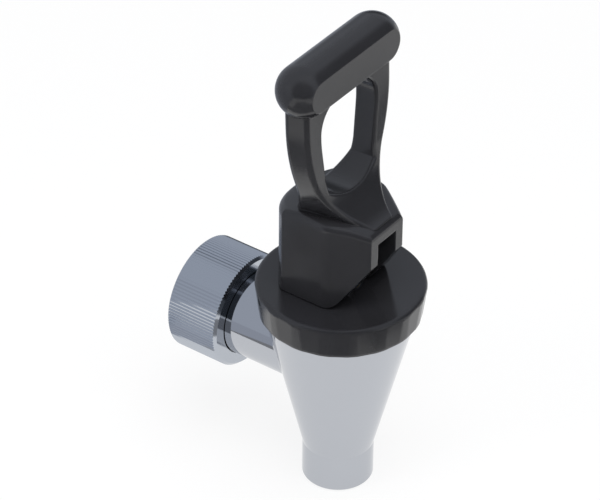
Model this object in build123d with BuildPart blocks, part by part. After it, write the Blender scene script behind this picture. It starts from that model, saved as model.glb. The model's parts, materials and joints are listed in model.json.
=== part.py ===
# Lever drain tap: a plated cone body with a knurled union nut on its inlet, a black screwed
# bonnet, and a black loop handle whose cam foot lifts a spring-closed stem and rubber seat cup.
# Millimetres. The origin is the centre of the spout's mouth, +Z is up, the inlet points to +Y
# and the handle is pulled towards -Y.
import os
from math import cos, pi, radians, sin, sqrt, tan

from build123d import *

os.makedirs("parts", exist_ok=True)

# Spout and cone body
spout_r = 9.2
spout_length = 10.6
body_wall = 2.2
cone_low_r = 9.2
cone_high_r = 19.3
shoulder_z = 52.0
spout_bore_r = 7.0
seat_z = 20.0
seat_bore_r = 6.0
seat_lip_width = 1.2
seat_lip_height = 1.2
seat_web = 3.5
mouth_round = 0.8

# Neck that the bonnet screws on to
neck_r = 17.4
neck_bore_r = 15.4
neck_length = 5.0
neck_top_z = shoulder_z + neck_length

# Inlet tail
inlet_z = 38.3
tail_r = 11.27
tail_bore_r = 7.5
tail_end_y = 32.5
tail_root_round = 1.0

# Union nut, G 3/4
nut_back_y = 28.0
nut_front_y = 43.3
nut_tip_r = 15.2
nut_root_r = 15.0
nut_teeth = 108
nut_back_chamfer = 0.8
nut_front_chamfer = 0.5
nut_lip = 2.2
nut_bore_clearance = 0.25
thread_r = 12.06
thread_relief_r = 13.4

# Retaining ring that keeps the nut on the tail, and the flat gasket
ring_width = 1.2
ring_r = 12.0
ring_groove_depth = 0.8
ring_gap = 2.0
ring_side_clearance = 0.1
gasket_r = 11.9
gasket_bore_r = 8.5
gasket_thickness = 2.0
gasket_to_thread = 0.5

# Bonnet
bonnet_low_r = 20.5
bonnet_high_r = 21.5
bonnet_height = 8.5
bonnet_plate = 2.6
bonnet_facets = 18
bonnet_turn = 4.0
bonnet_low_corner = 0.12
bonnet_edge_round = 1.0
bonnet_seat_gap = 0.3
bonnet_thread_clearance = 0.1
bonnet_low_z = shoulder_z + bonnet_seat_gap
bonnet_top_z = bonnet_low_z + bonnet_height
bonnet_under_z = bonnet_top_z - bonnet_plate

# Stem
stem_r = 3.2
stem_bore_clearance = 0.05
stem_collar_r = 4.4
stem_collar_height = 1.2
stem_neck_r = 2.4
stem_neck_length = 2.2
stem_head_r = 4.6
stem_head_height = 2.2
stem_top_over_pin = 4.2
stem_tip_chamfer = 0.6

# Seat cup, one rubber moulding
cup_tip_thickness = 3.5
cup_tip_r = 8.0
cup_cone_r = 5.4
cup_cone_depth = 2.6
cup_wall = 1.3
cup_mouth_clearance = 0.5
cup_low_r = 8.4
cup_grip_clearance = 0.1
cup_floor_over_head = 2.1

# Spring, its washer and the stem's guide bush
washer_r = 7.0
washer_thickness = 1.0
wire_r = 0.6
coil_r = 5.2
spring_turns = 8
guide_r = 5.0
guide_flange_r = 7.2
guide_flange = 1.5
guide_clearance = 0.05

# Handle's foot, which rests on the bonnet and turns on a cross pin
foot_gap = 0.3
foot_r = 15.58
foot_half = 12.5
foot_taper_y = -4.0
foot_taper_round = 6.0
foot_flat_half = 6.7
foot_flat_y = -13.4
foot_edge_round = 1.8
roof_r = 34.0
roof_centre_y = 1.0
roof_top_over_pin = 21.7
cam_corner_y = -5.5
cam_nose_r = 4.0
cam_rise = 12.3
slot_width = 7.5
slot_height = 18.4
slot_back_y = 5.6
core_wall = 2.5
core_rib = 2.5
core_front_y = 8.2
core_width = 18.0
core_height = 17.0
foot_low_z = bonnet_top_z + foot_gap

# Cross pin
pin_over_foot = 3.0
pin_r = 1.5
pin_press_clearance = 0.02
pin_running_clearance = 0.1
pin_left_x = -10.5
pin_right_x = 12.0
pin_chamfer = 0.3
pin_z = foot_low_z + pin_over_foot

# Handle's two arms and grip, which lean back a little about the pin
handle_lean = 2.0
grip_r = 6.9
grip_half_length = 20.8
grip_over_pin = 59.9
badge_depth = 1.35
arm_outer_half = 17.7
arm_straight_over_pin = 50.0
arm_low_half = 10.6
arm_low_over_pin = 24.0
arm_draft = 8.0
arm_depth = 6.7
arm_outer_round = 1.4
root_over_pin = 14.0
root_reach = 10.0
web_high_over_pin = 33.5
web_front_over_pin = 18.4
web_reach = 14.6
web_back_over_pin = 16.8
web_back_reach = 11.5

# Finger loop between the arms
loop_high_half = 11.2
loop_straight_over_pin = 44.0
loop_top_over_pin = 54.0
loop_top_round = 7.5
loop_low_half = 9.3
loop_floor_over_pin = 26.4
loop_corner_over_pin = 29.4
loop_corner_round = 3.0
loop_bend_round = 30.0
loop_edge_round = 0.9


def cone_r(z):
    """Outer radius of the cone body at height z."""
    rise = (z - spout_length) / (shoulder_z - spout_length)
    return cone_low_r + (cone_high_r - cone_low_r) * rise


def on_roof(edge):
    """Whether an edge lies on the foot's rounded top."""
    off_y = (edge @ 0.5).Y - roof_centre_y
    off_z = (edge @ 0.5).Z - (pin_z + roof_top_over_pin - roof_r)
    return abs(sqrt(off_y**2 + off_z**2) - roof_r) < 0.01


chamber_floor_z = seat_z - seat_lip_height
seat_lip_r = seat_bore_r + seat_lip_width
cone_slope = (cone_high_r - cone_low_r) / (shoulder_z - spout_length)
chamber_top_z = spout_length + (neck_bore_r + body_wall - cone_low_r) / cone_slope

# Body: turned cone with spout, neck and inlet tail, bored through
with BuildPart() as valve_body:
    with BuildSketch(Plane.XZ):
        with BuildLine():
            Polyline(
                (0, 0),
                (spout_r, 0),
                (spout_r, spout_length),
                (cone_high_r, shoulder_z),
                (neck_r, shoulder_z),
                (neck_r, neck_top_z),
                (0, neck_top_z),
                close=True,
            )
        make_face()
    revolve(axis=Axis.Z)
    mouth = valve_body.edges().filter_by(GeomType.CIRCLE).sort_by(Axis.Z)[0]
    fillet(mouth, mouth_round)
    with BuildSketch(Plane(origin=(0, 0, inlet_z), x_dir=(1, 0, 0), z_dir=(0, 1, 0))):
        Circle(tail_r)
    extrude(amount=tail_end_y)
    tail_root = valve_body.edges().filter_by(lambda e: e.geom_type not in (GeomType.CIRCLE, GeomType.LINE))
    fillet(tail_root, tail_root_round)
    with BuildSketch(Plane.XZ):
        with BuildLine():
            Polyline(
                (0, 0),
                (spout_bore_r, 0),
                (spout_bore_r, seat_z - seat_web),
                (seat_bore_r, seat_z - seat_web + spout_bore_r - seat_bore_r),
                (seat_bore_r, seat_z),
                (seat_lip_r, seat_z),
                (seat_lip_r, chamber_floor_z),
                (cone_r(chamber_floor_z) - body_wall, chamber_floor_z),
                (neck_bore_r, chamber_top_z),
                (neck_bore_r, neck_top_z),
                (0, neck_top_z),
                close=True,
            )
        make_face()
    revolve(axis=Axis.Z, mode=Mode.SUBTRACT)
    with BuildSketch(Plane(origin=(0, 0, inlet_z), x_dir=(1, 0, 0), z_dir=(0, 1, 0))):
        Circle(tail_bore_r)
    extrude(amount=tail_end_y, mode=Mode.SUBTRACT)
    ring_back_y = nut_back_y + nut_lip + ring_side_clearance
    ring_groove_r = tail_r - ring_groove_depth
    with BuildSketch(Plane(origin=(0, ring_back_y, inlet_z), x_dir=(1, 0, 0), z_dir=(0, 1, 0))):
        Circle(tail_r + 1)
        Circle(ring_groove_r, mode=Mode.SUBTRACT)
    extrude(amount=ring_width + ring_side_clearance, mode=Mode.SUBTRACT)
valve_body.part.label = "valve_body"
export_step(valve_body.part, "parts/valve_body.step")

# Union nut: straight-knurled outside, threaded mouth, and a lip behind that rides on the tail
thread_back_y = tail_end_y + gasket_thickness + gasket_to_thread
with BuildPart() as union_nut:
    with BuildSketch(Plane(origin=(0, nut_back_y, inlet_z), x_dir=(1, 0, 0), z_dir=(0, 1, 0))):
        tooth_points = []
        for tooth in range(nut_teeth):
            tip_turn = 2 * pi * tooth / nut_teeth
            root_turn = tip_turn + pi / nut_teeth
            tooth_points.append((nut_tip_r * cos(tip_turn), nut_tip_r * sin(tip_turn)))
            tooth_points.append((nut_root_r * cos(root_turn), nut_root_r * sin(root_turn)))
        with BuildLine():
            Polyline(*tooth_points, close=True)
        make_face()
    extrude(amount=nut_front_y - nut_back_y)
    nut_lip_r = tail_r + nut_bore_clearance
    with BuildSketch(Plane(origin=(0, 0, inlet_z), x_dir=(1, 0, 0), z_dir=(0, 0, 1))):
        with BuildLine():
            Polyline(
                (0, nut_back_y),
                (nut_tip_r - nut_back_chamfer, nut_back_y),
                (nut_tip_r, nut_back_y + nut_back_chamfer),
                (nut_tip_r, nut_front_y - nut_front_chamfer),
                (nut_tip_r - nut_front_chamfer, nut_front_y),
                (0, nut_front_y),
                close=True,
            )
        make_face()
    revolve(axis=Axis((0, 0, inlet_z), (0, 1, 0)), mode=Mode.INTERSECT)
    with BuildSketch(Plane(origin=(0, 0, inlet_z), x_dir=(1, 0, 0), z_dir=(0, 0, 1))):
        with BuildLine():
            Polyline(
                (0, nut_back_y - 1),
                (nut_lip_r, nut_back_y - 1),
                (nut_lip_r, nut_back_y + nut_lip),
                (thread_relief_r, nut_back_y + nut_lip),
                (thread_relief_r, thread_back_y - 1),
                (thread_r, thread_back_y),
                (thread_r, nut_front_y),
                (0, nut_front_y),
                close=True,
            )
        make_face()
    revolve(axis=Axis((0, 0, inlet_z), (0, 1, 0)), mode=Mode.SUBTRACT)
union_nut.part.label = "union_nut"
export_step(union_nut.part, "parts/union_nut.step")

# Split ring snapped into the tail's groove
with BuildPart() as retaining_ring:
    with BuildSketch(Plane(origin=(0, ring_back_y, inlet_z), x_dir=(1, 0, 0), z_dir=(0, 1, 0))):
        Circle(ring_r)
        Circle(ring_groove_r + ring_side_clearance, mode=Mode.SUBTRACT)
        with Locations((0, ring_r)):
            Rectangle(ring_gap, ring_r, mode=Mode.SUBTRACT)
    extrude(amount=ring_width)
retaining_ring.part.label = "retaining_ring"
export_step(retaining_ring.part, "parts/retaining_ring.step")

# Flat gasket on the tail's end face
with BuildPart() as inlet_gasket:
    with BuildSketch(Plane(origin=(0, tail_end_y, inlet_z), x_dir=(1, 0, 0), z_dir=(0, 1, 0))):
        Circle(gasket_r)
        Circle(gasket_bore_r, mode=Mode.SUBTRACT)
    extrude(amount=gasket_thickness)
inlet_gasket.part.label = "inlet_gasket"
export_step(inlet_gasket.part, "parts/inlet_gasket.step")

# Bonnet: a moulded cap with shallow grip facets, screwed over the body's neck
facet_spread = 1 / cos(pi / bonnet_facets)
with BuildPart() as bonnet:
    with BuildSketch(Plane.XY.offset(bonnet_low_z)):
        RegularPolygon(bonnet_low_r * facet_spread, bonnet_facets, rotation=bonnet_turn)
    with BuildSketch(Plane.XY.offset(bonnet_top_z)):
        RegularPolygon(bonnet_high_r * facet_spread, bonnet_facets, rotation=bonnet_turn)
    loft()
    with BuildSketch(Plane.XZ):
        with BuildLine():
            Polyline(
                (0, bonnet_low_z),
                (bonnet_low_r + bonnet_low_corner, bonnet_low_z),
                (bonnet_high_r + (facet_spread - 1) * bonnet_high_r / 2, bonnet_top_z),
                (0, bonnet_top_z),
                close=True,
            )
        make_face()
        rim = vertices().sort_by(Axis.Y)[-2:].sort_by(Axis.X)[-1]
        fillet(rim, bonnet_edge_round)
    revolve(axis=Axis.Z, mode=Mode.INTERSECT)
    with BuildSketch(Plane.XY.offset(bonnet_low_z)):
        Circle(neck_r + bonnet_thread_clearance)
    extrude(amount=bonnet_under_z - bonnet_low_z, mode=Mode.SUBTRACT)
    with BuildSketch(Plane.XY.offset(bonnet_under_z)):
        Circle(guide_r + guide_clearance)
    extrude(amount=bonnet_plate, mode=Mode.SUBTRACT)
bonnet.part.label = "bonnet"
export_step(bonnet.part, "parts/bonnet.step")

# Heights of the pieces stacked on the stem
head_low_z = seat_z + cup_tip_thickness + cup_grip_clearance
head_high_z = head_low_z + stem_head_height
collar_low_z = head_high_z + stem_neck_length
collar_high_z = collar_low_z + stem_collar_height
guide_low_z = bonnet_under_z - guide_flange
spring_low_z = collar_high_z + washer_thickness
spring_high_z = guide_low_z

# Seat cup: flange gripped under the bonnet, thin bell, and a thick tip that closes on the seat
cup_mouth_r = neck_bore_r - cup_mouth_clearance
cup_floor_z = head_high_z + cup_floor_over_head
with BuildPart() as seat_cup:
    with BuildSketch(Plane.XZ):
        with BuildLine():
            Polyline(
                (0, seat_z - cup_cone_depth),
                (cup_cone_r - cup_cone_depth, seat_z - cup_cone_depth),
                (cup_cone_r, seat_z),
                (cup_tip_r, seat_z),
                (cup_low_r, cup_floor_z),
                (cup_mouth_r, chamber_top_z),
                (cup_mouth_r, neck_top_z),
                (neck_r - bonnet_thread_clearance, neck_top_z),
                (neck_r - bonnet_thread_clearance, bonnet_under_z),
                (cup_mouth_r - cup_wall, bonnet_under_z),
                (cup_mouth_r - cup_wall, chamber_top_z),
                (cup_low_r - cup_wall, cup_floor_z),
                (stem_neck_r + cup_grip_clearance, cup_floor_z),
                (stem_neck_r + cup_grip_clearance, head_high_z + cup_grip_clearance),
                (stem_head_r + cup_grip_clearance, head_high_z + cup_grip_clearance),
                (stem_head_r + cup_grip_clearance, head_low_z - cup_grip_clearance),
                (0, head_low_z - cup_grip_clearance),
                close=True,
            )
        make_face()
    revolve(axis=Axis.Z)
seat_cup.part.label = "seat_cup"
export_step(seat_cup.part, "parts/seat_cup.step")

# Stem: turned rod with a head for the cup, a collar for the spring washer and a cross hole
with BuildPart() as stem:
    with BuildSketch(Plane.XZ):
        with BuildLine():
            Polyline(
                (0, head_low_z),
                (stem_head_r, head_low_z),
                (stem_head_r, head_high_z),
                (stem_neck_r, head_high_z),
                (stem_neck_r, collar_low_z),
                (stem_collar_r, collar_low_z),
                (stem_collar_r, collar_high_z),
                (stem_r, collar_high_z),
                (stem_r, pin_z + stem_top_over_pin - stem_tip_chamfer),
                (stem_r - stem_tip_chamfer, pin_z + stem_top_over_pin),
                (0, pin_z + stem_top_over_pin),
                close=True,
            )
        make_face()
    revolve(axis=Axis.Z)
    with BuildSketch(Plane(origin=(-stem_r, 0, pin_z), x_dir=(0, 1, 0), z_dir=(1, 0, 0))):
        Circle(pin_r + pin_running_clearance)
    extrude(amount=2 * stem_r, mode=Mode.SUBTRACT)
stem.part.label = "stem"
export_step(stem.part, "parts/stem.step")

# Washer on the stem's collar, under the spring
with BuildPart() as spring_washer:
    with BuildSketch(Plane.XY.offset(collar_high_z)):
        Circle(washer_r)
        Circle(stem_r + stem_bore_clearance, mode=Mode.SUBTRACT)
    extrude(amount=washer_thickness)
spring_washer.part.label = "spring_washer"
export_step(spring_washer.part, "parts/spring_washer.step")

# Closing spring, with its end turns ground flat
spring_length = spring_high_z - spring_low_z
with BuildPart() as spring:
    with BuildLine():
        coil = Helix(
            pitch=spring_length / spring_turns,
            height=spring_length,
            radius=coil_r,
            center=(0, 0, spring_low_z),
        )
    with BuildSketch(Plane(origin=coil @ 0, z_dir=coil % 0)):
        Circle(wire_r)
    sweep(is_frenet=True)
    with BuildSketch(Plane.XY.offset(spring_low_z)):
        Circle(coil_r + 2 * wire_r)
    extrude(amount=spring_length, mode=Mode.INTERSECT)
spring.part.label = "spring"
export_step(spring.part, "parts/spring.step")

# Flanged bush that guides the stem through the bonnet and takes the spring's upper end
with BuildPart() as stem_guide:
    with BuildSketch(Plane.XY.offset(guide_low_z)):
        Circle(guide_flange_r)
    extrude(amount=guide_flange)
    with BuildSketch(Plane.XY.offset(bonnet_under_z)):
        Circle(guide_r)
    extrude(amount=bonnet_plate)
    with BuildSketch(Plane.XY.offset(guide_low_z)):
        Circle(stem_r + stem_bore_clearance)
    extrude(amount=guide_flange + bonnet_plate, mode=Mode.SUBTRACT)
stem_guide.part.label = "stem_guide"
export_step(stem_guide.part, "parts/stem_guide.step")

# Handle's arms: a fork seen from the front, drafted so that it narrows forwards, crossed with a
# side view that widens downwards into concave webs, and pierced by the finger loop
lean_up = (0, sin(radians(handle_lean)), cos(radians(handle_lean)))
lean_front = (0, -cos(radians(handle_lean)), sin(radians(handle_lean)))
front_plane = Plane(origin=(0, 0, pin_z), x_dir=(1, 0, 0), z_dir=lean_front)
side_plane = Plane(origin=(0, 0, pin_z), x_dir=(0, lean_up[2], -lean_up[1]), z_dir=(1, 0, 0))
depth_axis = Axis((0, 0, pin_z), lean_front)
back_widening = web_back_reach * tan(radians(arm_draft))
root_length = arm_low_over_pin - root_over_pin
with BuildPart() as handle_arms:
    with BuildSketch(front_plane.offset(-web_back_reach)):
        with BuildLine():
            left_bend = TangentArc(
                (-arm_outer_half - back_widening, arm_straight_over_pin),
                (-arm_low_half - back_widening, arm_low_over_pin),
                tangent=(0, -1),
            )
            left_root = Line(left_bend @ 1, left_bend @ 1 + (left_bend % 1) * root_length)
            right_bend = TangentArc(
                (arm_outer_half + back_widening, arm_straight_over_pin),
                (arm_low_half + back_widening, arm_low_over_pin),
                tangent=(0, -1),
            )
            right_root = Line(right_bend @ 1, right_bend @ 1 + (right_bend % 1) * root_length)
            Line(left_root @ 1, right_root @ 1)
            Polyline(
                right_bend @ 0,
                (arm_outer_half + back_widening, grip_over_pin),
                (-arm_outer_half - back_widening, grip_over_pin),
                left_bend @ 0,
            )
        make_face()
    extrude(amount=web_back_reach + web_reach, taper=arm_draft)
    with BuildSketch(side_plane):
        with BuildLine():
            front_web = TangentArc(
                (-arm_depth / 2, web_high_over_pin),
                (-web_reach, web_front_over_pin),
                tangent=(0, -1),
            )
            back_web = TangentArc(
                (arm_depth / 2, web_high_over_pin),
                (web_back_reach, web_back_over_pin),
                tangent=(0, -1),
            )
            Polyline(
                front_web @ 1,
                (-root_reach, root_over_pin),
                (root_reach, root_over_pin),
                back_web @ 1,
            )
            Polyline(
                back_web @ 0,
                (arm_depth / 2, grip_over_pin),
                (-arm_depth / 2, grip_over_pin),
                front_web @ 0,
            )
        make_face()
    extrude(amount=arm_outer_half + back_widening, both=True, mode=Mode.INTERSECT)
    arm_edges = handle_arms.edges().filter_by(Axis.X, reverse=True).filter_by(depth_axis, reverse=True)
    arm_edges = arm_edges.filter_by(lambda e: abs((e @ 0.5).X) > loop_low_half / 2)
    arm_edges = arm_edges.filter_by(lambda e: (e @ 0.5).Z > pin_z + web_front_over_pin)
    fillet(arm_edges, arm_outer_round)
    with BuildSketch(front_plane) as loop:
        with BuildLine():
            loop_floor = ThreePointArc(
                (-loop_low_half, loop_corner_over_pin),
                (0, loop_floor_over_pin),
                (loop_low_half, loop_corner_over_pin),
            )
            Polyline(
                loop_floor @ 1,
                (loop_high_half, loop_straight_over_pin),
                (loop_high_half, loop_top_over_pin),
                (-loop_high_half, loop_top_over_pin),
                (-loop_high_half, loop_straight_over_pin),
                loop_floor @ 0,
            )
        make_face()
        corners = loop.vertices().sort_by(Axis.Y)
        fillet(corners[-2:], loop_top_round)
        fillet(corners[:2], loop_corner_round)
        bends = loop.vertices().filter_by(lambda v: abs(v.Y - loop_straight_over_pin) < 0.01)
        fillet(bends, loop_bend_round)
    extrude(amount=web_reach, both=True, mode=Mode.SUBTRACT)
    loop_edges = handle_arms.edges(Select.LAST)
    loop_edges = loop_edges.filter_by(Axis.X, reverse=True).filter_by(depth_axis, reverse=True)
    fillet(loop_edges, loop_edge_round)

# Handle: one black moulding, foot, arms and grip together
roof_centre_z = pin_z + roof_top_over_pin - roof_r
roof_front_z = roof_centre_z + sqrt(roof_r**2 - (foot_flat_y - roof_centre_y) ** 2)
roof_back_z = roof_centre_z + sqrt(roof_r**2 - (foot_r - roof_centre_y) ** 2)
grip_axis = Axis(Vector(0, 0, pin_z) + Vector(lean_up) * grip_over_pin, (1, 0, 0))
grip_end_x = grip_half_length - grip_r
with BuildPart() as handle:
    with BuildSketch(Plane.YZ) as foot_side:
        with BuildLine():
            roof = ThreePointArc(
                (foot_flat_y, roof_front_z),
                (roof_centre_y, roof_centre_z + roof_r),
                (foot_r, roof_back_z),
            )
            Polyline(
                roof @ 1,
                (foot_r, foot_low_z),
                (cam_corner_y, foot_low_z),
                (foot_flat_y, foot_low_z + cam_rise),
                roof @ 0,
            )
        make_face()
        cam_corner = foot_side.vertices().sort_by(Axis.Y)[:2].sort_by(Axis.X)[0]
        fillet(cam_corner, cam_nose_r)
    extrude(amount=foot_r, both=True)
    foot_side_back_y = sqrt(foot_r**2 - foot_half**2)
    with BuildSketch(Plane.XY.offset(foot_low_z)) as foot_plan:
        with BuildLine():
            rear = ThreePointArc((foot_half, foot_side_back_y), (0, foot_r), (-foot_half, foot_side_back_y))
            Polyline(
                rear @ 1,
                (-foot_half, foot_taper_y),
                (-foot_flat_half, foot_flat_y),
                (foot_flat_half, foot_flat_y),
                (foot_half, foot_taper_y),
                rear @ 0,
            )
        make_face()
        taper_corners = foot_plan.vertices().filter_by(lambda v: abs(v.Y - foot_taper_y) < 0.01)
        fillet(taper_corners, foot_taper_round)
    extrude(amount=roof_centre_z + roof_r - foot_low_z, mode=Mode.INTERSECT)
    shoulder_edges = handle.edges().filter_by(on_roof)
    fillet(shoulder_edges, foot_edge_round)
    add(handle_arms.part)
    # The webs end flush with the foot's front flat
    with BuildSketch(Plane.XZ.offset(-foot_flat_y)):
        with Locations((0, pin_z + root_over_pin)):
            Rectangle(2 * foot_half, 2 * root_over_pin)
    extrude(amount=web_reach, mode=Mode.SUBTRACT)
    with BuildSketch(front_plane):
        with BuildLine():
            Line((-grip_half_length, grip_over_pin), (grip_half_length, grip_over_pin))
            CenterArc((grip_end_x, grip_over_pin), grip_r, 0, 90)
            Line((grip_end_x, grip_over_pin + grip_r), (-grip_end_x, grip_over_pin + grip_r))
            CenterArc((-grip_end_x, grip_over_pin), grip_r, 90, 90)
        make_face()
    revolve(axis=grip_axis)
    # Flat badge face along the grip's front
    with BuildSketch(front_plane.offset(grip_r - badge_depth)):
        with Locations((0, grip_over_pin)):
            Rectangle(2 * grip_half_length, 2 * grip_r)
    extrude(amount=badge_depth, mode=Mode.SUBTRACT)
    # Slot that the stem stands in, open below and in front
    with BuildSketch(Plane.XY.offset(foot_low_z)):
        with Locations((0, (slot_back_y - foot_r) / 2)):
            Rectangle(slot_width, slot_back_y + foot_r)
    extrude(amount=slot_height, mode=Mode.SUBTRACT)
    # Two moulding cores behind the slot, with a rib between them
    with BuildSketch(Plane.XY.offset(foot_low_z)):
        Circle(foot_r - core_wall)
        with Locations((0, core_front_y + foot_r / 2)):
            Rectangle(core_width, foot_r, mode=Mode.INTERSECT)
        Rectangle(core_rib, 2 * foot_r, mode=Mode.SUBTRACT)
    extrude(amount=core_height, mode=Mode.SUBTRACT)
    # Cross hole, open on one side only
    with BuildSketch(Plane(origin=(pin_left_x, 0, pin_z), x_dir=(0, 1, 0), z_dir=(1, 0, 0))):
        Circle(pin_r + pin_press_clearance)
    extrude(amount=foot_r - pin_left_x, mode=Mode.SUBTRACT)
handle.part.label = "handle"
export_step(handle.part, "parts/handle.step")

# Cross pin, pushed into the handle's foot and through the stem
with BuildPart() as handle_pin:
    with BuildSketch(Plane(origin=(pin_left_x, 0, pin_z), x_dir=(0, 1, 0), z_dir=(1, 0, 0))):
        Circle(pin_r)
    extrude(amount=pin_right_x - pin_left_x)
    chamfer(handle_pin.edges().filter_by(GeomType.CIRCLE), pin_chamfer)
handle_pin.part.label = "handle_pin"
export_step(handle_pin.part, "parts/handle_pin.step")
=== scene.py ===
"""Lever drain tap, dressed for the studio.

A chrome-plated cone body with a knurled union nut on its inlet, a black moulded bonnet, and a
black loop handle on a spring-closed stem. All lengths are in millimetres unless a name says
metres, and the frame's own axes hold: +Z up the stem, +Y out of the inlet, -Y towards the user.
"""

from __future__ import annotations

import json
import logging
from dataclasses import dataclass
from enum import Enum
from math import cos, radians, sin
from typing import Any

import bmesh
import bpy
from mathutils import Matrix, Vector

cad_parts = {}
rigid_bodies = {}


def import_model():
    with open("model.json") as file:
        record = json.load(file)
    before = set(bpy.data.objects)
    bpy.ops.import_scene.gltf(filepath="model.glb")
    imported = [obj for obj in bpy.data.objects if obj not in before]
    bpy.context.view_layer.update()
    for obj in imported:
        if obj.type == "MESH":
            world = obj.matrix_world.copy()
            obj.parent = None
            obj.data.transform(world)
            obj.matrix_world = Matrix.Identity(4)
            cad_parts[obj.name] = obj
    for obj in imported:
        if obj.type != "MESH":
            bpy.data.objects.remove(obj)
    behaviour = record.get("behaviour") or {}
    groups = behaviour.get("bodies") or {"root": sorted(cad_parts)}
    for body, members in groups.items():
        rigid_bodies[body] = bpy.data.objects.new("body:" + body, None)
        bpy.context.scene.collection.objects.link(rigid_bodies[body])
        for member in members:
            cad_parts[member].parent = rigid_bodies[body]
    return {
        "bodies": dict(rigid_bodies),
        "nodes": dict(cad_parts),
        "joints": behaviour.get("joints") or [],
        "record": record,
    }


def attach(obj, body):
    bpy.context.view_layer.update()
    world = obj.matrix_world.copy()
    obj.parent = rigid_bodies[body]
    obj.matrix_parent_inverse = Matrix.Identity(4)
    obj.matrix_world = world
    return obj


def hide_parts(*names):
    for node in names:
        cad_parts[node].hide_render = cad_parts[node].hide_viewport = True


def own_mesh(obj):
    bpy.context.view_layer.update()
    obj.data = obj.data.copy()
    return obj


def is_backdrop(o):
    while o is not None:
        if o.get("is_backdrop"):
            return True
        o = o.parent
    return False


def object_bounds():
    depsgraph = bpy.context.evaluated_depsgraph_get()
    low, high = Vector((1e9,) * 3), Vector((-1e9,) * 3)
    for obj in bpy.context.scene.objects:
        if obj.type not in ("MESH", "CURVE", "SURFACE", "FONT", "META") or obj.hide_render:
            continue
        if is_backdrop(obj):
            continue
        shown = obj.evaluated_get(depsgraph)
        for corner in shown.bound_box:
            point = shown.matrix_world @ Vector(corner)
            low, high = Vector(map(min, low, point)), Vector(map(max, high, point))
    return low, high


log = logging.getLogger("drain_tap")

MM = 0.001

# How far the finest relief of any finish rises, such as a buffing line or a moulded grain.
RELIEF_MM = 0.05
WHITE = (1.0, 1.0, 1.0, 1.0)

# Places of a colour Mix node's two colours, and of its result, among its sockets.
MIX_FIRST, MIX_SECOND, MIX_RESULT = 6, 7, 2


def linear(hex_colour: str, alpha: float = 1.0) -> tuple[float, float, float, float]:
    """Turn an sRGB hex colour to linear light.

    Args:
        hex_colour: Six hex digits, with or without a leading #.
        alpha: The fourth value of the colour.

    Returns:
        Red, green, blue and alpha as Blender's sockets take them.
    """
    digits = hex_colour.lstrip("#")
    channels = [int(digits[i : i + 2], 16) / 255 for i in (0, 2, 4)]
    light = [c / 12.92 if c <= 0.04045 else ((c + 0.055) / 1.055) ** 2.4 for c in channels]
    return (light[0], light[1], light[2], alpha)


def add_node(
    tree: bpy.types.NodeTree,
    kind: str,
    settings: dict[str | int, Any] | None = None,
    links: dict[str | int, Any] | None = None,
) -> bpy.types.Node:
    """Add one node with its settings and links.

    Args:
        tree: The node tree that takes it.
        kind: The node's type name.
        settings: Properties of the node, or values of its input sockets by name or place.
        links: Input socket, by name or place, to the output socket that feeds it.

    Returns:
        The new node.
    """
    made = tree.nodes.new(kind)
    for name, value in (settings or {}).items():
        if isinstance(name, int) or name in made.inputs:
            made.inputs[name].default_value = value
        else:
            setattr(made, name, value)
    for name, source in (links or {}).items():
        tree.links.new(source, made.inputs[name])
    return made


def new_material(name: str) -> tuple[bpy.types.Material, bpy.types.NodeTree]:
    """Make an empty node material.

    Args:
        name: The material's name.

    Returns:
        The material and its node tree.
    """
    material = bpy.data.materials.new(name)
    material.use_nodes = True
    material.node_tree.nodes.clear()
    return material, material.node_tree


def scale_for(millimetres: float) -> float:
    """Texture scale, on coordinates in metres, whose features are that many millimetres apart."""
    return 1.0 / (millimetres * MM)


@dataclass(frozen=True)
class ChromePlate:
    """Chrome over polished brass: a mirror with a faint blue, and the polisher's fine lines."""

    name: str
    tint: str
    roughness: float
    brightest: float = 0.8
    dullest: float = 1.35
    lines_mm: float = 1.2
    haze_mm: float = 9.0
    line_depth: float = 0.004

    def build(self) -> bpy.types.Material:
        """Make the material.

        Returns:
            The plated finish.
        """
        material, tree = new_material(self.name)
        place = add_node(tree, "ShaderNodeTexCoord").outputs["Object"]
        # Plating is not evenly bright: broad, weak patches where the buffing wheel lifted off.
        haze = add_node(
            tree,
            "ShaderNodeTexNoise",
            {"Scale": scale_for(self.haze_mm), "Detail": 3.0},
            {"Vector": place},
        )
        gloss = add_node(
            tree,
            "ShaderNodeMapRange",
            {
                "From Min": 0.35,
                "From Max": 0.7,
                "To Min": self.roughness * self.brightest,
                "To Max": self.roughness * self.dullest,
            },
            {"Value": haze.outputs["Fac"]},
        )
        # Buffing lines, drawn about ten times as coarse as they are so that the render holds them.
        lines = add_node(
            tree,
            "ShaderNodeTexNoise",
            {"Scale": scale_for(self.lines_mm), "Detail": 2.0},
            {"Vector": place},
        )
        relief = add_node(
            tree,
            "ShaderNodeBump",
            {"Strength": self.line_depth, "Distance": RELIEF_MM * MM},
            {"Height": lines.outputs["Fac"]},
        )
        shader = add_node(
            tree,
            "ShaderNodeBsdfPrincipled",
            {"Base Color": linear(self.tint), "Metallic": 1.0},
            {"Roughness": gloss.outputs["Result"], "Normal": relief.outputs["Normal"]},
        )
        add_node(tree, "ShaderNodeOutputMaterial", None, {"Surface": shader.outputs["BSDF"]})
        return material


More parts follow.
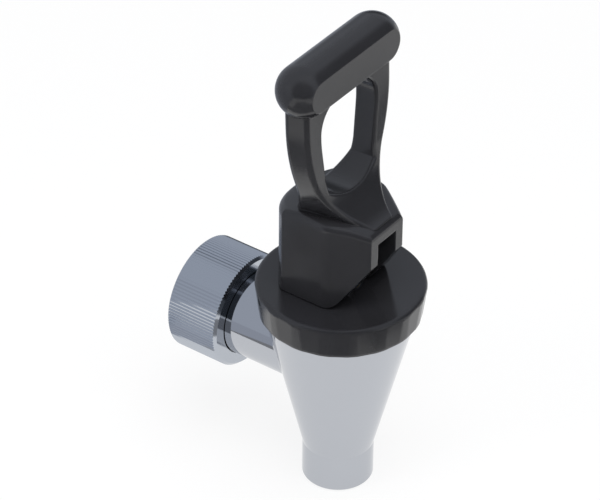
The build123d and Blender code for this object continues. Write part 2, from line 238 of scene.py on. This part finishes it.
@dataclass(frozen=True)
class MouldedBlack:
    """Glossy black engineering plastic, injection moulded: a clean sheen over a near-black base."""

    name: str
    base: str = "#222224"
    worn: str = "#29292C"
    roughness: float = 0.15
    glossiest: float = 0.75
    dullest: float = 1.5
    flow_mm: float = 14.0
    grain_mm: float = 0.9
    grain_depth: float = 0.01
    edge_mm: float = 0.4
    ior: float = 1.45

    def build(self) -> bpy.types.Material:
        """Make the material.

        Returns:
            The moulded finish.
        """
        material, tree = new_material(self.name)
        place = add_node(tree, "ShaderNodeTexCoord").outputs["Object"]
        # The melt's flow leaves broad clouds in both the black and the gloss.
        flow = add_node(
            tree,
            "ShaderNodeTexNoise",
            {"Scale": scale_for(self.flow_mm), "Detail": 4.0},
            {"Vector": place},
        )
        colour = add_node(
            tree,
            "ShaderNodeMix",
            {"data_type": "RGBA", MIX_FIRST: linear(self.base), MIX_SECOND: linear(self.worn)},
            {"Factor": flow.outputs["Fac"]},
        )
        gloss = add_node(
            tree,
            "ShaderNodeMapRange",
            {
                "From Min": 0.3,
                "From Max": 0.75,
                "To Min": self.roughness * self.glossiest,
                "To Max": self.roughness * self.dullest,
            },
            {"Value": flow.outputs["Fac"]},
        )
        grain = add_node(
            tree,
            "ShaderNodeTexNoise",
            {"Scale": scale_for(self.grain_mm), "Detail": 2.0},
            {"Vector": place},
        )
        # A moulding has no sharp edge: its corners carry a soft line of light.
        corner = add_node(
            tree, "ShaderNodeBevel", {"samples": 6, "Radius": self.edge_mm * MM}
        )
        relief = add_node(
            tree,
            "ShaderNodeBump",
            {"Strength": self.grain_depth, "Distance": RELIEF_MM * MM},
            {"Height": grain.outputs["Fac"], "Normal": corner.outputs["Normal"]},
        )
        shader = add_node(
            tree,
            "ShaderNodeBsdfPrincipled",
            {"IOR": self.ior},
            {
                "Base Color": colour.outputs[MIX_RESULT],
                "Roughness": gloss.outputs["Result"],
                "Normal": relief.outputs["Normal"],
            },
        )
        add_node(tree, "ShaderNodeOutputMaterial", None, {"Surface": shader.outputs["BSDF"]})
        return material


@dataclass(frozen=True)
class PlainStock:
    """Bar, wire or sheet stock as it comes: one colour with a fine drawn or moulded grain."""

    name: str
    tint: str
    metallic: float
    roughness: float
    grain_mm: float
    smoothest: float = 0.8
    roughest: float = 1.25
    grain_depth: float = 0.1

    def build(self) -> bpy.types.Material:
        """Make the material.

        Returns:
            The stock's finish.
        """
        material, tree = new_material(self.name)
        place = add_node(tree, "ShaderNodeTexCoord").outputs["Object"]
        grain = add_node(
            tree,
            "ShaderNodeTexNoise",
            {"Scale": scale_for(self.grain_mm), "Detail": 3.0},
            {"Vector": place},
        )
        gloss = add_node(
            tree,
            "ShaderNodeMapRange",
            {
                "To Min": self.roughness * self.smoothest,
                "To Max": self.roughness * self.roughest,
            },
            {"Value": grain.outputs["Fac"]},
        )
        relief = add_node(
            tree,
            "ShaderNodeBump",
            {"Strength": self.grain_depth, "Distance": RELIEF_MM * MM},
            {"Height": grain.outputs["Fac"]},
        )
        shader = add_node(
            tree,
            "ShaderNodeBsdfPrincipled",
            {"Base Color": linear(self.tint), "Metallic": self.metallic},
            {"Roughness": gloss.outputs["Result"], "Normal": relief.outputs["Normal"]},
        )
        add_node(tree, "ShaderNodeOutputMaterial", None, {"Surface": shader.outputs["BSDF"]})
        return material


class Finish(Enum):
    """The finishes of this tap, one for each material slot of the record."""

    PLATED_BODY = ChromePlate("polished_chrome_plate", "#B7BAC0", 0.05)
    PLATED_NUT = ChromePlate("knurled_chrome_plate", "#B6BBC3", 0.1)
    # The bonnet's shallow grip facets run softly into one another.
    BLACK_PLASTIC = MouldedBlack(
        "black_moulded_bonnet", base="#1F1F20", worn="#26262A", edge_mm=1.0
    )
    BLACK_HANDLE = MouldedBlack("black_moulded_handle")
    STEM_STEEL = PlainStock("turned_stainless_steel", "#C4C4C6", 1.0, 0.3, 0.6)
    SPRING_STEEL = PlainStock("drawn_stainless_wire", "#B8B8BA", 1.0, 0.35, 0.4)
    GUIDE_BRASS = PlainStock("turned_brass", "#C9A45A", 1.0, 0.3, 0.6)
    CUP_RUBBER = PlainStock("moulded_silicone", "#CFCDC4", 0.0, 0.5, 0.8)
    GASKET_RUBBER = PlainStock("cut_sheet_rubber", "#232323", 0.0, 0.7, 0.5)


@dataclass
class Wardrobe:
    """Makes each finish once and puts it on the nodes that the record gives that slot."""

    record: dict[str, Any]
    nodes: dict[str, bpy.types.Object]

    def dress(self) -> None:
        """Give every node of the frame the finish of its slot."""
        made = {finish: finish.value.build() for finish in Finish}
        for part in self.record["subparts"]:
            finish = Finish[part["material_slot"].upper()]
            mesh = self.nodes[part["node"]].data
            mesh.materials.clear()
            mesh.materials.append(made[finish])
            log.info("%s: %s", part["node"], made[finish].name)


@dataclass
class StemSprings:
    """The closing spring and seat cup: copies of them stand in their place and stay put with the
    tap's body.
    """

    record: dict[str, Any]
    nodes: dict[str, bpy.types.Object]
    joint: str = "stem_lift"
    sprung: tuple[str, ...] = ("spring", "seat_cup")

    def build(self) -> None:
        """Stand a copy in for each sprung node, in its own place and finish, fixed to the tap's
        body.
        """
        for node in self.sprung:
            piece = bpy.data.objects.new(f"{node}_at_work", self.nodes[node].data.copy())
            bpy.context.scene.collection.objects.link(piece)
            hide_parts(node)
            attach(piece, "tap")
            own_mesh(piece)


@dataclass(frozen=True)
class Drape:
    """A dark drape on the scrim: where its middle hangs, and how wide it is, all in degrees."""

    azimuth: float
    elevation: float
    inner: float
    outer: float

    def towards(self) -> tuple[float, float, float]:
        """Give the direction of its middle."""
        a, e = radians(self.azimuth), radians(self.elevation)
        return (cos(a) * cos(e), sin(a) * cos(e), sin(e))


@dataclass(frozen=True)
class Card:
    """A plain card on the floor: its colour and its corners in millimetres."""

    name: str
    tint: str
    outline_mm: tuple[tuple[float, float], ...]


@dataclass(frozen=True)
class SoftBox:
    """A square lamp: where it hangs and its side in millimetres, and its power in watts."""

    name: str
    place_mm: tuple[float, float, float]
    side_mm: float
    watts: float


# The room is dark behind the user's left shoulder, as the nut's turned rear face shows, at the
# user's right, as the handle's front web shows, and low behind the tap, as its finger loop shows.
DRAPES = (
    Drape(-150.0, 26.0, 34.0, 48.0),
    Drape(-40.0, 26.0, 18.0, 32.0),
    Drape(28.0, 5.0, 12.0, 24.0),
)

# The white sheet under the tap ends behind it, where the tail mirrors its edge.
SHEET_END_Y = 73.5
SCRIM_R = 2600.0

# Grey card lies at the user's left, round to the front, and past the sheet at the right.
SIDE_OUTLINE = (
    (-80, SHEET_END_Y),
    (-150, SHEET_END_Y),
    (-150, 20),
    (-420, -60),
    (-420, -300),
    (55, -200),
    (55, -66),
    (-32, -62),
    (-64, 12),
    (-68, 40),
    (-80, 50),
)
BACK_OUTLINE = (
    (-SCRIM_R, SHEET_END_Y),
    (SCRIM_R, SHEET_END_Y),
    (SCRIM_R, SCRIM_R),
    (-SCRIM_R, SCRIM_R),
)
CARDS = (
    Card("grey_back_card", "#B4B9C4", BACK_OUTLINE),
    Card("grey_side_card", "#96979A", SIDE_OUTLINE),
    Card("grey_right_card", "#96979A", ((100, -70), (170, -70), (170, -113), (139, -113))),
)

LAMPS = (
    SoftBox("top_box", (-150, -250, 900), 700, 8.0),
    SoftBox("side_box", (-900, 500, 450), 500, 4.0),
)


@dataclass
class Studio:
    """Pale sweep, scrim, cards, soft lamps and the camera at the photograph's viewing angle."""

    low_z_metres: float
    azimuth: float = 35.744
    elevation: float = 36.293
    roll: float = 0.629
    lens: float = 218.045
    sensor: float = 36.0
    camera_mm: tuple[float, float, float] = (-592.956, -414.079, 600.862)
    floor_drop: float = 0.2
    floor_half: float = 3000.0
    floor_glow: float = 0.85
    paper_tint: str = "#F2F2F2"
    paper_roughness: float = 0.9
    sky_tint: str = "#F4F6FA"
    sky_light: float = 0.42
    scrim_tint: str = "#BFC5D0"
    scrim_rings: int = 24
    drape_tint: str = "#42464B"
    card_lift: float = 0.1
    aim_z: float = 60.0

    def camera(self) -> None:
        """Place the camera as it was fitted to the photograph."""
        a, e, turn = radians(self.azimuth), radians(self.elevation), radians(self.roll)
        right = Vector((sin(a), -cos(a), 0))
        away = Vector((cos(a) * cos(e), sin(a) * cos(e), -sin(e)))
        up = right.cross(away)
        rolled_right = cos(turn) * right + sin(turn) * up
        rolled_up = -sin(turn) * right + cos(turn) * up
        data = bpy.data.cameras.new("camera")
        data.lens = self.lens
        data.sensor_width = self.sensor
        data.clip_start = 0.01
        data.clip_end = 100.0
        eye = bpy.data.objects.new("camera", data)
        frame = Matrix((rolled_right, rolled_up, -away)).transposed().to_4x4()
        frame.translation = Vector(self.camera_mm) * MM
        eye.matrix_world = frame
        bpy.context.scene.collection.objects.link(eye)
        bpy.context.scene.camera = eye

    def floor(self) -> None:
        """Lay a plain pale floor just under the spout, white to the camera and in the gloss."""
        half, z = self.floor_half * MM, self.low_z_metres - self.floor_drop * MM
        corners = [(-half, -half, z), (half, -half, z), (half, half, z), (-half, half, z)]
        mesh = bpy.data.meshes.new("floor")
        mesh.from_pydata(corners, [], [(0, 1, 2, 3)])
        sheet = bpy.data.objects.new("floor", mesh)
        bpy.context.scene.collection.objects.link(sheet)
        material, tree = new_material("pale_paper_sweep")
        paper = add_node(
            tree,
            "ShaderNodeBsdfPrincipled",
            {"Base Color": linear(self.paper_tint), "Roughness": self.paper_roughness},
        )
        white = add_node(tree, "ShaderNodeEmission", {"Color": WHITE, "Strength": 1.0})
        path = add_node(tree, "ShaderNodeLightPath")
        seen = add_node(
            tree,
            "ShaderNodeMath",
            {"operation": "MAXIMUM"},
            {0: path.outputs["Is Camera Ray"], 1: path.outputs["Is Glossy Ray"]},
        )
        # The rest of the paper is lit as paper is, so that it keeps the tap's shadow.
        share = add_node(
            tree,
            "ShaderNodeMath",
            {"operation": "MULTIPLY", 1: self.floor_glow},
            {0: seen.outputs[0]},
        )
        blend = add_node(
            tree,
            "ShaderNodeMixShader",
            None,
            {0: share.outputs[0], 1: paper.outputs["BSDF"], 2: white.outputs["Emission"]},
        )
        add_node(tree, "ShaderNodeOutputMaterial", None, {"Surface": blend.outputs["Shader"]})
        mesh.materials.append(material)
        sheet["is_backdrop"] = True

    def scrim_cloth(self) -> bpy.types.Material:
        """Make the scrim's grey cloth with the dark drapes on it.

        Returns:
            The cloth's material.
        """
        material, tree = new_material("grey_scrim_cloth")
        place = add_node(tree, "ShaderNodeTexCoord")
        towards = add_node(
            tree,
            "ShaderNodeVectorMath",
            {"operation": "NORMALIZE"},
            {0: place.outputs["Object"]},
        )
        hung = None
        for drape in DRAPES:
            facing = add_node(
                tree,
                "ShaderNodeVectorMath",
                {"operation": "DOT_PRODUCT", 1: drape.towards()},
                {0: towards.outputs["Vector"]},
            )
            cover = add_node(
                tree,
                "ShaderNodeMapRange",
                {"From Min": cos(radians(drape.outer)), "From Max": cos(radians(drape.inner))},
                {"Value": facing.outputs["Value"]},
            )
            sources: dict[str | int, Any] = {"Factor": cover.outputs["Result"]}
            if hung is not None:
                sources[MIX_FIRST] = hung.outputs[MIX_RESULT]
            hung = add_node(
                tree,
                "ShaderNodeMix",
                {
                    "data_type": "RGBA",
                    MIX_FIRST: linear(self.scrim_tint),
                    MIX_SECOND: linear(self.drape_tint),
                },
                sources,
            )
        glow = add_node(
            tree, "ShaderNodeEmission", {"Strength": 1.0}, {"Color": hung.outputs[MIX_RESULT]}
        )
        add_node(tree, "ShaderNodeOutputMaterial", None, {"Surface": glow.outputs["Emission"]})
        return material

    def scrim(self) -> None:
        """Hang the grey scrim that the plating and the plastic mirror from above the horizon."""
        mesh = bpy.data.meshes.new("scrim")
        shell = bmesh.new()
        bmesh.ops.create_uvsphere(
            shell,
            u_segments=2 * self.scrim_rings,
            v_segments=self.scrim_rings,
            radius=SCRIM_R * MM,
        )
        below = [v for v in shell.verts if v.co.z < -MM]
        bmesh.ops.delete(shell, geom=below, context="VERTS")
        shell.to_mesh(mesh)
        shell.free()
        mesh.materials.append(self.scrim_cloth())
        dome = bpy.data.objects.new("scrim", mesh)
        dome.location.z = self.low_z_metres
        self.only_in_gloss(dome)

    def lay(self, card: Card) -> None:
        """Lay one plain card on the floor for the tap to mirror.

        Args:
            card: The card.
        """
        z = self.low_z_metres + (self.card_lift - self.floor_drop) * MM
        corners = [(x * MM, y * MM, z) for x, y in card.outline_mm]
        mesh = bpy.data.meshes.new(card.name)
        mesh.from_pydata(corners, [], [tuple(range(len(corners)))])
        material, tree = new_material(card.name)
        glow = add_node(
            tree, "ShaderNodeEmission", {"Color": linear(card.tint), "Strength": 1.0}
        )
        add_node(tree, "ShaderNodeOutputMaterial", None, {"Surface": glow.outputs["Emission"]})
        mesh.materials.append(material)
        self.only_in_gloss(bpy.data.objects.new(card.name, mesh))

    def only_in_gloss(self, thing: bpy.types.Object) -> None:
        """Stand a piece of the studio where only the tap's gloss sees it.

        Args:
            thing: The scrim or a card.
        """
        bpy.context.scene.collection.objects.link(thing)
        thing.visible_camera = False
        thing.visible_diffuse = False
        thing.visible_transmission = False
        thing.visible_volume_scatter = False
        thing.visible_shadow = False
        thing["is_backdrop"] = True

    def world(self) -> None:
        """Light the scene from all round, and show white where a ray goes past the floor."""
        sky = bpy.data.worlds.new("studio")
        sky.use_nodes = True
        tree = sky.node_tree
        tree.nodes.clear()
        path = add_node(tree, "ShaderNodeLightPath")
        soft = add_node(
            tree,
            "ShaderNodeBackground",
            {"Color": linear(self.sky_tint), "Strength": self.sky_light},
        )
        white = add_node(tree, "ShaderNodeBackground", {"Color": WHITE, "Strength": 1.0})
        mirrored = add_node(
            tree,
            "ShaderNodeMath",
            {"operation": "MAXIMUM"},
            {0: path.outputs["Is Glossy Ray"], 1: path.outputs["Is Transmission Ray"]},
        )
        seen = add_node(
            tree,
            "ShaderNodeMath",
            {"operation": "MAXIMUM"},
            {0: path.outputs["Is Camera Ray"], 1: mirrored.outputs[0]},
        )
        blend = add_node(
            tree,
            "ShaderNodeMixShader",
            None,
            {0: seen.outputs[0], 1: soft.outputs["Background"], 2: white.outputs["Background"]},
        )
        add_node(tree, "ShaderNodeOutputWorld", None, {"Surface": blend.outputs["Shader"]})
        bpy.context.scene.world = sky

    def hang(self, box: SoftBox) -> None:
        """Hang one square soft box that faces the tap.

        Args:
            box: The lamp.
        """
        data = bpy.data.lights.new(box.name, "AREA")
        data.energy = box.watts
        data.size = box.side_mm * MM
        lamp = bpy.data.objects.new(box.name, data)
        lamp.visible_glossy = False
        lamp.location = Vector(box.place_mm) * MM
        aim = Vector((0, 0, self.aim_z * MM)) - lamp.location
        lamp.rotation_mode = "QUATERNION"
        lamp.rotation_quaternion = aim.to_track_quat("-Z", "Y")
        bpy.context.scene.collection.objects.link(lamp)

    def build(self) -> None:
        """Set up the whole studio."""
        self.camera()
        self.floor()
        self.scrim()
        for card in CARDS:
            self.lay(card)
        self.world()
        for box in LAMPS:
            self.hang(box)
        bpy.context.scene.view_settings.view_transform = "Standard"
        log.info("studio: camera, floor, scrim, %d cards, %d lamps", len(CARDS), len(LAMPS))


def main() -> None:
    """Load the frame, dress the tap, fit its springs and set up the studio."""
    logging.basicConfig(level=logging.INFO, format="%(name)s %(message)s")
    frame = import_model()
    cad_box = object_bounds()
    Wardrobe(frame["record"], frame["nodes"]).dress()
    StemSprings(frame["record"], frame["nodes"]).build()
    Studio(cad_box[0].z).build()


if __name__ == "__main__":
    main()
